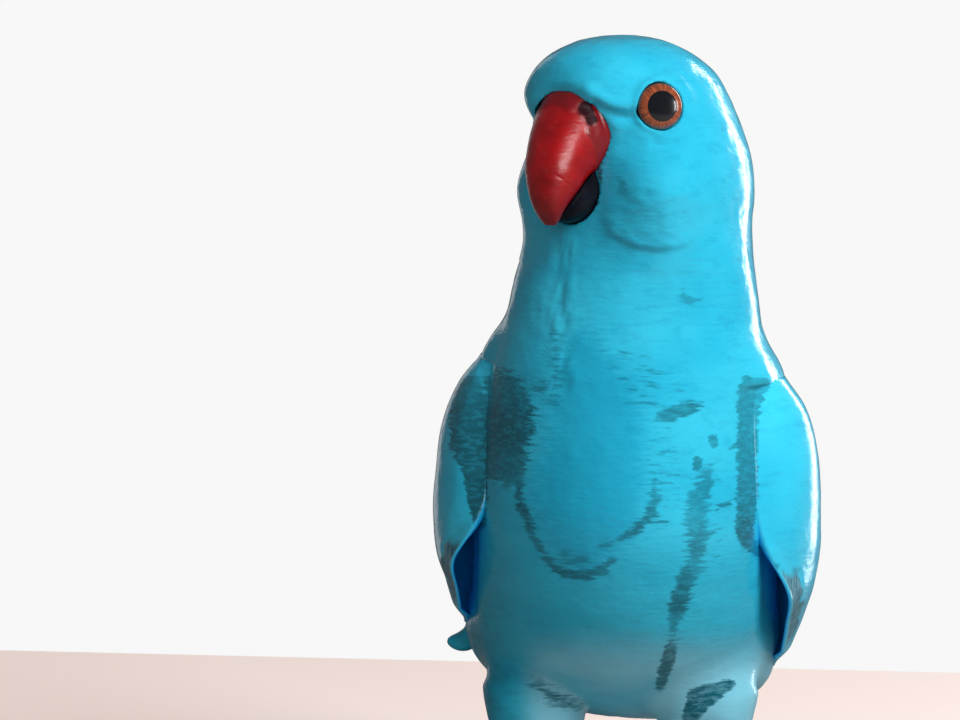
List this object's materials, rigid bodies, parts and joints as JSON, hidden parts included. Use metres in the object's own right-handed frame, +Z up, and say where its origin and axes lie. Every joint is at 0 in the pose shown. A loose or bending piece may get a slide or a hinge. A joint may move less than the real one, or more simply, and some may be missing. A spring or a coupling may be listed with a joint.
{
  "type": "parrot figurine",
  "caption": "Standing parrot figurine with its head turned aside, folded wings, hooked beak, long tail and low oval base.",
  "frame": {"origin": "centre of the base's underside", "axes": "+Z up, the chest faces -Y and the tail runs back along +Y; +X is the bird's left side"},
  "size_m": [0.0795, 0.1581, 0.1681],
  "materials": {
    "parrot_body": "glossy painted resin, stained",
    "left_wing": "glossy painted resin, navy inside",
    "right_wing": "glossy painted resin, navy inside",
    "upper_beak": "glossy red paint",
    "lower_beak": "glossy black paint",
    "left_eye": "glass, brown iris",
    "right_eye": "glass, brown iris",
    "base": "satin off-white paint"
  },
  "bodies": {
    "root": {"parrot_body": "parrot_body", "left_wing": "left_wing", "right_wing": "right_wing", "upper_beak": "upper_beak", "lower_beak": "lower_beak", "left_eye": "left_eye", "right_eye": "right_eye", "base": "base"}
  },
  "joints": []
}
